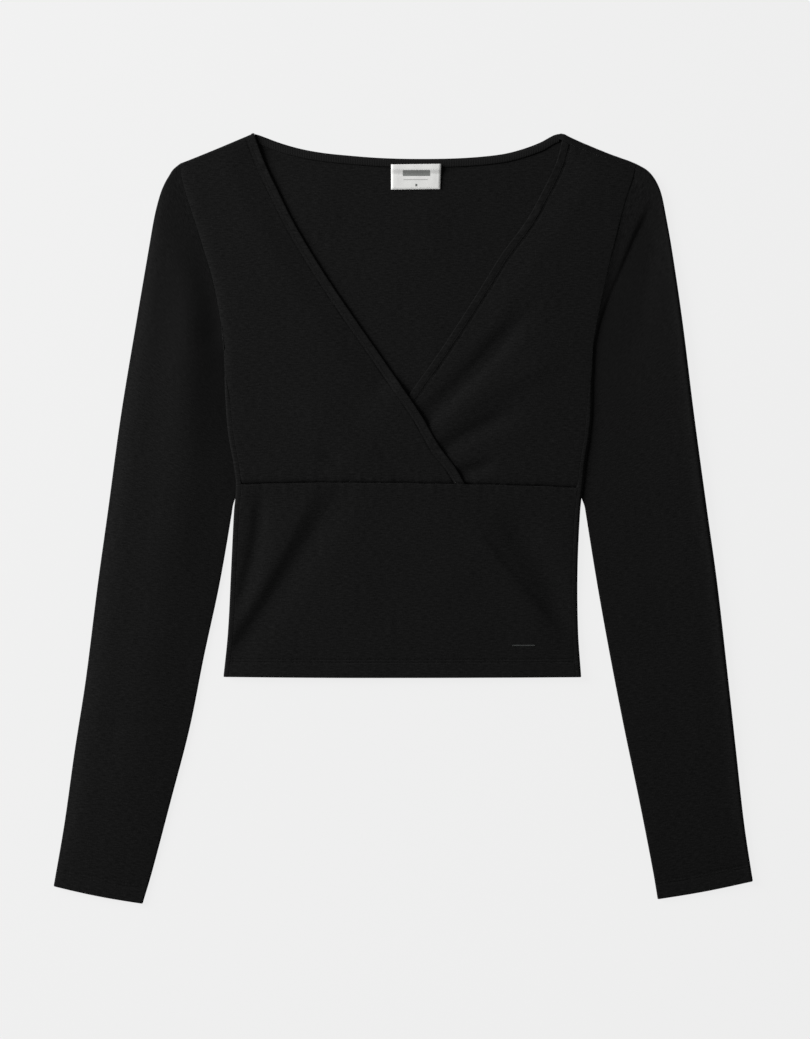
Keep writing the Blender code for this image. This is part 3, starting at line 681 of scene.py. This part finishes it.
def waist_surface(x, y):
    """Outer height of the waist panel with its seams and hem."""
    from_side = np.maximum(inside_body(x, y) - SIDE_SEAM_IN, 0.0)
    from_seam, from_hem = waist_seam(x) - y, y - hem(x)
    height = waist_height(x, y) + pucker(from_side, y, 8.0, 0.05) + pucker(from_seam, x, 9.0, 0.2)
    height = height - seam_roll(from_side, *SIDE_SEAM_ROLL) - seam_roll(from_seam, *WAIST_TOP_ROLL)
    height = height - channels(from_hem, HEM_NEEDLES, x, TURN_CHANNEL)
    return height + pucker(from_hem - HEM_WIDTH, x, 10.0, 0.09, 5.0)


def front_waist():
    """The panel from the seam under the bust to the hem, which is turned in."""
    column_lines = spread(SEAM_STEPS, 170, SEAM_STEPS)
    near_hem = (0.0, 0.5, 1.2, 2.4, 4.2, 6.5, 9.0, 10.6, 11.2, 11.6, 11.85, 12.1, 12.4, 12.8,
                13.3, 13.8, 14.15, 14.4, 14.7, 15.2, 16.2, 17.8)
    row_lines = spread(near_hem, 84, SEAM_STEPS)
    turn = turned_edge()
    columns, rows = len(column_lines[2]) - 1, len(turn) - 1 + len(row_lines[2]) - 1

    def across(i, y):
        return between(BODY[RIGHT](y) + SIDE_SEAM_IN, BODY[LEFT](y) - SIDE_SEAM_IN, column_lines, i)

    def place(i, j):
        past = turn[np.clip(j, 0, len(turn) - 1)]
        row = np.clip(j - len(turn) + 1, 0, len(row_lines[2]) - 1)
        low = landing(hem, lambda y: across(i, y), NEAR_HEM) + TURN
        high = landing(waist_seam, lambda y: across(i, y), NEAR_BUST_SEAM)
        y = between(low, high, row_lines, row)
        x = across(i, y)
        reach, drop = round_fold(past, TURN)
        return x, y - reach, waist_surface(x, y) - drop, x, y - reach + WAIST_CUT
    return cloth_piece("jersey_waist", columns, rows, place)


# ---- sleeves ----

def sleeve(side):
    """A flattened tube whose sections fan round the underarm, turned in at the cuff."""
    fold_steps, wall_steps, rings = 8, 56, 200
    name, out, cuff = side + "_sleeve", OUTWARDS[side], CUFF[side]
    section = {key: smooth(SLEEVE_SECTIONS[side], "along", key)
               for key in ("outer", "inner", "flank", "ridge")}
    shoulder = max(row["y"] for row in SLEEVE_OUTER)
    around = 2 * (wall_steps + fold_steps)
    # Rings of the tube: the edge turned in at the cuff, the rows of stitches, the even middle, the
    # armhole seam, and the allowance that tucks in under the body's edge.
    turn = turned_edge()
    near_cuff = np.array([0.0, 0.5, 1.2, 2.4, 4.2, 6.5, 8.8, 9.9, 10.45, 10.8, 11.2, 11.7, 12.3,
                          12.75, 13.1, 13.5, 14.2, 15.5]) / SLEEVE_LENGTH
    even = np.linspace(0, 1, rings)[1:-1]
    near_armhole = 1 - np.array([2.4, 1.6, 1.0, 0.5, 0.2, 0.0]) / SLEEVE_LENGTH
    toward_armhole = mix(near_cuff[-1], 1 - 3.0 / SLEEVE_LENGTH, even * (1.6 - 0.6 * even))
    allowance = np.array([0.4, 1.0, 1.8, 2.8])
    along_rings = np.r_[np.zeros(len(turn) - 1), near_cuff, toward_armhole, near_armhole,
                        np.ones(len(allowance))]
    turn_rings = np.r_[turn, np.zeros(len(along_rings) - len(turn))]
    tuck_rings = np.r_[np.zeros(len(along_rings) - len(allowance)), allowance]
    lean = math.atan2(cuff["outer"] - cuff["inner"],
                      abs(INNER[side](cuff["inner"]) - OUTER[side](cuff["outer"])))

    def ends(along):
        """Outer and inner end of a section.  The inner end slows down towards the underarm."""
        start_rate, end_rate = 1.3, 0.14
        reach = ((along ** 3 - 2 * along ** 2 + along) * start_rate
                 + 3 * along ** 2 - 2 * along ** 3 + (along ** 3 - along ** 2) * end_rate)
        outer = mix(cuff["outer"], shoulder, along)
        inner = mix(cuff["inner"], UNDERARM, reach)
        return (OUTER[side](outer), outer), (INNER[side](inner), inner)

    def plan(along, share):
        """A point of the section in plan.  The last section follows the armhole seam."""
        outer, inner = ends(along)
        x, y = (mix(a, b, share) for a, b in zip(outer, inner))
        y = y - CUFF_BOW * np.sin(math.pi * share) * (1 - ramp(0.0, 0.1, along))
        seam_y = mix(shoulder, UNDERARM, share)
        chord_x = mix(OUTER[side](shoulder), BODY[side](UNDERARM), share)
        x = x + (BODY[side](seam_y) - chord_x) * ramp(0.72, 1.0, along)
        return x + (OVERLAP - 0.2) * out * share * ramp(0.99, 1.0, along), y

    def upper(x, y, along, share, from_outer):
        """Outer height of the upper wall."""
        flank = 1 - (1 - np.clip(from_outer / FLANK_WIDTH[side], 0, 1)) ** 3
        height = section["outer"](along) + section["flank"](along) * flank
        height = height + section["ridge"](along) * np.exp(-((share - RIDGE_AT) / RIDGE_WIDTH) ** 2)
        # The right sleeve falls to its inner edge past its middle, and the left one all the way.
        falling = np.clip((share - 0.42) / 0.58, 0, 1) ** 1.7 if side == RIGHT else 1 - (1 - share) ** 1.9
        height = mix(height, section["inner"](along), falling)
        inside = ramp(0.0, 0.12, share) * ramp(0.0, 0.12, 1 - share)
        height = height + creases(name, x, y) + undulation(x, y, 4.0 + out) * inside
        # Beside the armhole it climbs from its seam, which lies level with the body's edge.
        from_seam = np.abs(x - BODY[side](y))
        at_armhole = ramp(-8.0, 14.0, y - UNDERARM)
        seam_level = FRONT_HEIGHT - edge_roll(side, BODY[side](y), y) - armhole_groove(side, 0.0, y)
        near = (1 - np.clip(from_seam / ARMHOLE_SLOPE[side], 0, 1)) ** 2
        near = near * np.maximum(at_armhole, along == 1)
        height = mix(height, seam_level + pucker(from_seam, y, 11.0, 0.12), near)
        height = height - 0.45 * ramp(-0.15, 0.45, (BODY[side](y) - x) * out) * at_armhole
        from_cuff = along * SLEEVE_LENGTH
        height = height + turned_rise(from_cuff, CUFF_NEEDLES, *CUFF_RISE)
        height = height - channels(from_cuff, CUFF_NEEDLES, share * CUFF_WIDTH, TURN_CHANNEL)
        return at_least(LOWEST_SLEEVE, height, 0.3)

    def place(i, j):
        """Each ring runs over the upper wall, round the inner fold, back below and round the outer."""
        along, past, tuck = along_rings[j], turn_rings[j], tuck_rings[j]
        outer, inner = ends(along)
        width = np.hypot(inner[0] - outer[0], inner[1] - outer[1])
        half_outer, half_inner = section["outer"](along) / 2, section["inner"](along) / 2
        reach, shrink = round_fold(past, TURN)
        step = i % around
        inner_angle = math.pi * np.clip((step - wall_steps) / fold_steps, 0, 1)
        outer_angle = math.pi * np.clip((step - around + fold_steps) / fold_steps, 0, 1)
        at_inner = (step > wall_steps) & (step < wall_steps + fold_steps)
        at_outer = step > 2 * wall_steps + fold_steps
        walls = np.where(step <= wall_steps, step, 2 * wall_steps + fold_steps - step) / wall_steps
        walls = np.clip(walls, 0, 1)
        across = mix(half_outer, width - half_inner, walls)
        x, y = plan(along, across / width)
        top = upper(x, y, along, across / width, across - half_outer) - shrink
        low = BACK_LIFT + shrink + (WALL + 0.05) * ramp(0.985, 1.0, along)
        top = mix(top, LOWEST_FRONT, ramp(0.0, 0.9, tuck))
        z = np.where(step <= wall_steps, top, low)
        z = np.where(at_inner, mix(low, top, (1 + np.cos(inner_angle)) / 2), z)
        z = np.where(at_outer, mix(low, top, (1 - np.cos(outer_angle)) / 2), z)
        across = across + np.maximum(half_inner - shrink, 0.3) * np.sin(inner_angle) * at_inner
        across = across - np.maximum(half_outer - shrink, 0.3) * np.sin(outer_angle) * at_outer
        x, y = plan(along, across / width)
        x = x + (reach * math.sin(lean) - tuck) * out
        y = y - reach * math.cos(lean)
        return x, y, z, across, along * SLEEVE_LENGTH - past + tuck
    return cloth_piece("jersey_sleeve_" + side, around, len(along_rings) - 1, place, side=out,
                       closed=True)


# ---- neck tape and label ----

def neck_tape():
    """The ribbed tape along the inside of the back neck.  Its lower edge lies free."""
    start, end = TAPE_ENDS[RIGHT], TAPE_ENDS[LEFT]
    columns, rows = int(6 * (end - start) / RIB_PITCH), 12

    def place(i, j):
        x = mix(start, end, i / columns)
        slope = (top_fold(x + 4.0) - top_fold(x - 4.0)) / 8.0
        down = mix(TAPE_WIDTH, TAPE_TOP, j / rows)
        edge = np.minimum(TAPE_WIDTH - down, down - TAPE_TOP)
        rib = 0.09 * np.cos(2 * math.pi * (x - start) / RIB_PITCH) * ramp(0.0, 0.9, edge)
        z = TAPE_LIFT + 0.5 * (1 - np.exp(-edge / 0.8)) + rib
        return x, top_fold(x) - down * np.hypot(1.0, slope), z, x, down
    return cloth_piece("ribbed_neck_tape", columns, rows, place, wall=TAPE_WALL)


def label_height(y):
    """The label's head lies on the tape and its foot on the back."""
    return LABEL_LIFT + LABEL_STEP * ramp(-8.5, -3.5, y - LABEL_TOP)


def neck_label():
    """A white label of folded satin: its sides roll down and its foot is a soft loop."""
    columns, rows = 60, 44
    width, depth = LABEL_SIZE

    def place(i, j):
        down = mix(depth, 0.0, j / rows)
        across = mix(-width / 2, width / 2, i / columns)
        y = LABEL_TOP - down + LABEL_TURN * across
        x = LABEL_CENTRE_X + across * (1 - LABEL_SKEW * (across > 0) * down / depth)
        edge = np.minimum(width / 2 - np.abs(across), depth - down)
        loop = 0.55 * ramp(0.0, 1.6, edge) + 0.35 * ramp(depth, depth * 0.4, down)
        wave = 0.12 * uneven(x, 2.0, (17.0, 29.0))
        return x, y, label_height(y) + loop + wave * ramp(0.0, 6.0, edge), x, y
    return cloth_piece("satin_neck_label", columns, rows, place, wall=LABEL_WALL)


# ---- stitches ----

def height_on(piece):
    """The piece's highest surface at a point in plan, in millimetres."""
    tree = BVHTree.FromObject(piece, bpy.context.evaluated_depsgraph_get())
    above, down = 50.0 * MM, Vector((0.0, 0.0, -1.0))

    def at(x, y):
        hit = tree.ray_cast(Vector((x * MM, y * MM, above)), down)[0]
        return hit.z / MM if hit else None
    return at


def stitches(name, path, height, length=STITCH_LENGTH, sunk=THREAD_SUNK, thick=THREAD):
    """One row of stitches along a path of points in plan: rounded threads with gaps between."""
    points = np.array(path, dtype=float)
    run = np.r_[0.0, np.cumsum(np.hypot(*np.diff(points, axis=0).T))]
    bm = bmesh.new()
    for start in np.arange(0.4, run[-1] - length, STITCH_PITCH):
        ends = []
        for along in (start, start + length):
            x, y = (np.interp(along, run, points[:, axis]) for axis in (0, 1))
            z = height(x, y)
            if z is not None:
                ends.append(Vector((x, y, z - sunk + thick / 2)))
        if len(ends) < 2 or abs(ends[0].z - ends[1].z) > STEEPEST_STITCH:
            continue
        span = ends[1] - ends[0]
        turn = span.to_track_quat("X", "Z").to_matrix().to_4x4()
        size = Matrix.Diagonal((span.length, thick, thick, 1.0))
        at = Matrix.Translation((ends[0] + ends[1]) / 2 * MM) @ turn @ Matrix.Scale(MM, 4) @ size
        bmesh.ops.create_uvsphere(bm, u_segments=8, v_segments=4, radius=0.5,
                                  matrix=at @ Matrix.Rotation(math.pi / 2, 4, "Y"))
    return finished(name, bm)


def joined(name, parts):
    """Several meshes as one piece."""
    bm = bmesh.new()
    for part in parts:
        bm.from_mesh(part.data)
        bpy.data.objects.remove(part)
    return finished(name, bm)


def neckline_path(side, away):
    """A row of stitches along a neckline, a fixed distance from its edge."""
    y = np.linspace(29.0, 312.0, 160)
    return np.stack([NECK[side](y) + OUTWARDS[side] * away * slant(side, y), y], axis=1)


def hem_path(needle):
    """A row of stitches along the hem, from one side seam to the other."""
    low, inset = hem(0.0) + needle, SIDE_SEAM_IN + 0.6
    x = np.linspace(BODY[RIGHT](low) + inset, BODY[LEFT](low) - inset, 120)
    return np.stack([x, hem(x) + needle], axis=1)


def cuff_path(side, needle):
    """A row of stitches across a cuff, a fixed distance from its turned edge."""
    out, cuff = OUTWARDS[side], CUFF[side]
    outer = np.array([OUTER[side](cuff["outer"]), cuff["outer"]])
    inner = np.array([INNER[side](cuff["inner"]), cuff["inner"]])
    along = (inner - outer) / np.hypot(*(inner - outer))
    up = np.array([-along[1], along[0]]) * -out
    share = np.linspace(0.03, 0.97, 60)
    bow = CUFF_BOW * np.sin(math.pi * share)
    return outer + np.outer(share, inner - outer) + np.outer(needle - bow, up)


# ---- materials ----

def linear(value):
    return value / 12.92 if value <= 0.04045 else ((value + 0.055) / 1.055) ** 2.4


def colour(code):
    """An sRGB colour code as the linear colour that Blender works in."""
    return (*(linear(int(code[i:i + 2], 16) / 255) for i in (1, 3, 5)), 1.0)


def add(material, kind, inputs=None, **settings):
    """Adds a shader node.  Each input is a value, or the output of another node."""
    node = material.node_tree.nodes.new(kind)
    for name, value in settings.items():
        setattr(node, name, value)
    for name, value in (inputs or {}).items():
        if isinstance(value, bpy.types.NodeSocket):
            material.node_tree.links.new(value, node.inputs[name])
        else:
            node.inputs[name].default_value = value
    return node


def new_material(name, roughness, gloss, sheen=0.0):
    """A material and its shader, with what is even all over its surface.  The IOR stays at 1.5, as
    of fibres and plastics, and gloss is how much of its mirror-like part the rough surface keeps."""
    material = bpy.data.materials.new(name)
    material.use_nodes = True
    shader = material.node_tree.nodes["Principled BSDF"]
    shader.inputs["Roughness"].default_value = roughness
    shader.inputs["Specular IOR Level"].default_value = gloss
    shader.inputs["Sheen Weight"].default_value = sheen
    return material, shader


def grain(material, across, along, detail=2.0):
    """Noise in the cloth's own coordinates, with features of these sizes in millimetres."""
    place = add(material, "ShaderNodeAttribute", attribute_name="grain").outputs["Vector"]
    scale = add(material, "ShaderNodeMapping",
                {"Vector": place, "Scale": (1 / (across * MM), 1 / (along * MM), 1.0)})
    noise = add(material, "ShaderNodeTexNoise", {"Vector": scale.outputs["Vector"], "Scale": 1.0,
                                                 "Detail": detail, "Roughness": 0.6})
    return noise.outputs["Fac"]


def scaled(material, value, low, high):
    """A noise value spread from low to high."""
    return add(material, "ShaderNodeMapRange", {"Value": value, "From Min": 0.3, "From Max": 0.7,
                                                "To Min": low, "To Max": high}).outputs["Result"]


def product(material, one, other):
    return add(material, "ShaderNodeMath", {0: one, 1: other}, operation="MULTIPLY").outputs[0]


def tinted(material, code, tone):
    """A colour, made lighter or darker by a value that varies about 1."""
    return add(material, "ShaderNodeVectorMath", {0: colour(code)[:3], 3: tone},
               operation="SCALE").outputs[0]


def jersey():
    """Fine single jersey, knitted of black slubby cotton yarn and not pressed.  The eye gets a matt
    black with short level streaks, and a faint bloom of loose fibre on slopes towards the light."""
    material, shader = new_material("black_slub_jersey", 0.92, 0.03, 0.12)
    shader.inputs["Sheen Roughness"].default_value = 0.35
    # A real stitch of this jersey is about 0.5 mm wide and 0.35 mm high, which is too fine to show
    # in the photograph's view.  The slub and the stitches are drawn two to four times as coarse.
    streak = grain(material, 5.0, 0.9, 3.0)
    fine = grain(material, 1.0, 1.6)
    tone = product(material, scaled(material, streak, 0.62, 1.38), scaled(material, fine, 0.72, 1.28))
    material.node_tree.links.new(tinted(material, "#151515", tone), shader.inputs["Base Color"])
    bump = add(material, "ShaderNodeBump", {"Height": fine, "Strength": 0.35, "Distance": 0.12 * MM})
    bump = add(material, "ShaderNodeBump", {"Height": streak, "Strength": 0.4, "Distance": 0.25 * MM,
                                            "Normal": bump.outputs["Normal"]})
    material.node_tree.links.new(bump.outputs["Normal"], shader.inputs["Normal"])
    return material


def ribbed_tape():
    """Black cotton tape, woven with ribs: dull, and a touch greyer than the jersey.  Its ribs are
    in the mesh, so its noise only gives their threads, of 0.6 mm."""
    material, shader = new_material("black_ribbed_cotton_tape", 0.9, 0.05, 0.02)
    tone = scaled(material, grain(material, 0.6, 2.5), 0.88, 1.12)
    material.node_tree.links.new(tinted(material, "#171717", tone), shader.inputs["Base Color"])
    return material


def thread(name, code):
    """Spun polyester sewing thread: a little glossier than the cloth, so that its rows just show."""
    material, shader = new_material(name, 0.7, 0.1)
    shader.inputs["Base Color"].default_value = colour(code)
    return material


def patch(material, place, centre, size, soft=0.25):
    """1 inside a rectangle of the cloth's own plane and 0 outside it.  Sizes in millimetres."""
    offset = add(material, "ShaderNodeVectorMath", {0: place, 1: [MM * c for c in (*centre, 0.0)]},
                 operation="SUBTRACT").outputs[0]
    offset = add(material, "ShaderNodeVectorMath", {0: offset}, operation="ABSOLUTE").outputs[0]
    offset = add(material, "ShaderNodeVectorMath", {0: offset, 1: [MM * c / 2 for c in (*size, 0.0)]},
                 operation="SUBTRACT").outputs[0]
    split = add(material, "ShaderNodeSeparateXYZ", {0: offset})
    beyond = add(material, "ShaderNodeMath", {0: split.outputs[0], 1: split.outputs[1]},
                 operation="MAXIMUM").outputs[0]
    return add(material, "ShaderNodeMapRange", {"Value": beyond, "From Min": soft * MM / 2,
                                                "From Max": -soft * MM / 2}).outputs["Result"]


def satin():
    """White polyester satin, woven with plain grey marks: a bar, a fine line and a small square.
    It is smooth and bright, with threads of 0.5 mm that run down the label."""
    material, shader = new_material("white_woven_satin", 0.5, 0.1, 0.1)
    place = add(material, "ShaderNodeAttribute", attribute_name="grain").outputs["Vector"]
    warp = grain(material, 0.5, 6.0)
    tint = tinted(material, "#e0e0de", scaled(material, warp, 0.97, 1.03))
    for centre, size, code, strength in LABEL_MARKS:
        share = product(material, patch(material, place, centre, size), strength)
        tint = add(material, "ShaderNodeMix", {0: share, 6: tint, 7: colour(code)},
                   data_type="RGBA").outputs[2]
    material.node_tree.links.new(tint, shader.inputs["Base Color"])
    bump = add(material, "ShaderNodeBump", {"Height": warp, "Strength": 0.3, "Distance": 0.08 * MM})
    material.node_tree.links.new(bump.outputs["Normal"], shader.inputs["Normal"])
    return material


def backlit_acrylic():
    """Opal acrylic with lamps below it.  It glows evenly and takes little of the softbox's light, so
    the eye sees a bright ground on which nothing throws a shadow."""
    material, shader = new_material("backlit_white_acrylic", 0.9, 0.0)
    shader.inputs["Base Color"].default_value = colour("#3f3f3f")
    shader.inputs["Emission Color"].default_value = colour("#ffffff")
    shader.inputs["Emission Strength"].default_value = 0.82
    return material


JERSEY = jersey()
TAPE = ribbed_tape()
SATIN = satin()
GREY_THREAD = thread("grey_polyester_thread", "#3e403f")
BLACK_THREAD = thread("black_polyester_thread", "#0a0a0a")

# ---- the pieces ----

back = back_panel()
waist = front_waist()
fronts = {side: front(side) for side in (RIGHT, LEFT)}
bands = {side: neck_band(side) for side in (RIGHT, LEFT)}
sleeves = {side: sleeve(side) for side in (RIGHT, LEFT)}
tape = neck_tape()
label = neck_label()


def wear(piece, material, slot, *nodes):
    """Gives a piece its material, hangs it from the root body and hides the solids that it stands for.
    Its slot is not used.
    """
    piece.data.materials.append(material)
    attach(piece, "root")
    if nodes:
        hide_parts(*nodes)


wear(back, JERSEY, "jersey", "back_panel")
wear(waist, JERSEY, "jersey", "front_waist")
for side in (RIGHT, LEFT):
    wear(fronts[side], JERSEY, "jersey", side + "_front")
    wear(bands[side], JERSEY, "jersey", side + "_neck_band")
    wear(sleeves[side], JERSEY, "jersey", side + "_sleeve")
wear(tape, TAPE, "tape", "neck_tape")
wear(label, SATIN, "label", "neck_label")

on_waist = height_on(waist)
hem_rows = joined("hem_stitches", [
    stitches("hem_row", hem_path(needle), on_waist) for needle in HEM_NEEDLES])
neck_rows = {}
for side in (RIGHT, LEFT):
    rows = [stitches("neck_row", neckline_path(side, away), height_on(piece))
            for away, piece in zip(NECK_NEEDLES, (bands[side], fronts[side]))]
    neck_rows[side] = joined("neckline_stitches_" + side, rows)
cuff_rows = {side: joined("cuff_stitches_" + side, [
    stitches("cuff_row", cuff_path(side, needle), height_on(sleeves[side]))
    for needle in CUFF_NEEDLES]) for side in (RIGHT, LEFT)}
for piece in (hem_rows, *neck_rows.values(), *cuff_rows.values()):
    wear(piece, BLACK_THREAD, "jersey")
start, end, low, high = HEM_MARK
hem_mark = joined("hem_bar_stitches", [
    stitches("bar_thread", [(x, low), (x + BAR_THREAD / 2, high)], on_waist, sunk=0.1,
             length=high - low - 0.5, thick=BAR_THREAD) for x in np.arange(start, end, BAR_THREAD)])
wear(hem_mark, GREY_THREAD, "jersey")

# ---- floor, light and camera ----

bm = bmesh.new()
bmesh.ops.create_grid(bm, x_segments=1, y_segments=1, size=4.0)
floor = finished("floor", bm)
floor.data.materials.append(backlit_acrylic())

SOFTBOX_SIZE = 1.45       # metres
SOFTBOX_POWER = 125.0     # watts
SOFTBOX_AWAY = 2.7
# From the photograph's left and a little from its top, about 26 degrees above the floor.
TOWARDS_SOFTBOX = Vector((-0.83, 0.36, 0.44)).normalized()
WORLD_STRENGTH = 0.19
lamp = bpy.data.lights.new("softbox", "AREA")
lamp.shape = "SQUARE"
lamp.size = SOFTBOX_SIZE
lamp.energy = SOFTBOX_POWER
softbox = bpy.data.objects.new("softbox", lamp)
softbox.location = SOFTBOX_AWAY * TOWARDS_SOFTBOX
softbox.rotation_euler = TOWARDS_SOFTBOX.to_track_quat("Z", "Y").to_euler()
bpy.context.scene.collection.objects.link(softbox)
world = bpy.data.worlds.new("studio")
world.use_nodes = True
world.node_tree.nodes["Background"].inputs["Color"].default_value = colour("#ffffff")
world.node_tree.nodes["Background"].inputs["Strength"].default_value = WORLD_STRENGTH
bpy.context.scene.world = world
bpy.context.scene.view_settings.view_transform = "Standard"

PHOTO_SCALE = 0.82        # millimetres for one pixel of the photograph
PHOTO_HEIGHT = 1039
PHOTO_MIDDLE = (1.6, -1.2)   # in millimetres
CAMERA_HEIGHT = 3.0
SENSOR_HEIGHT = 24.0
camera_data = bpy.data.cameras.new("camera")
camera_data.sensor_fit = "VERTICAL"
camera_data.sensor_height = SENSOR_HEIGHT
camera_data.lens = SENSOR_HEIGHT * CAMERA_HEIGHT / (PHOTO_HEIGHT * PHOTO_SCALE * MM)
camera = bpy.data.objects.new("camera", camera_data)
camera.location = (PHOTO_MIDDLE[0] * MM, PHOTO_MIDDLE[1] * MM, CAMERA_HEIGHT)
bpy.context.scene.collection.objects.link(camera)
bpy.context.scene.camera = camera
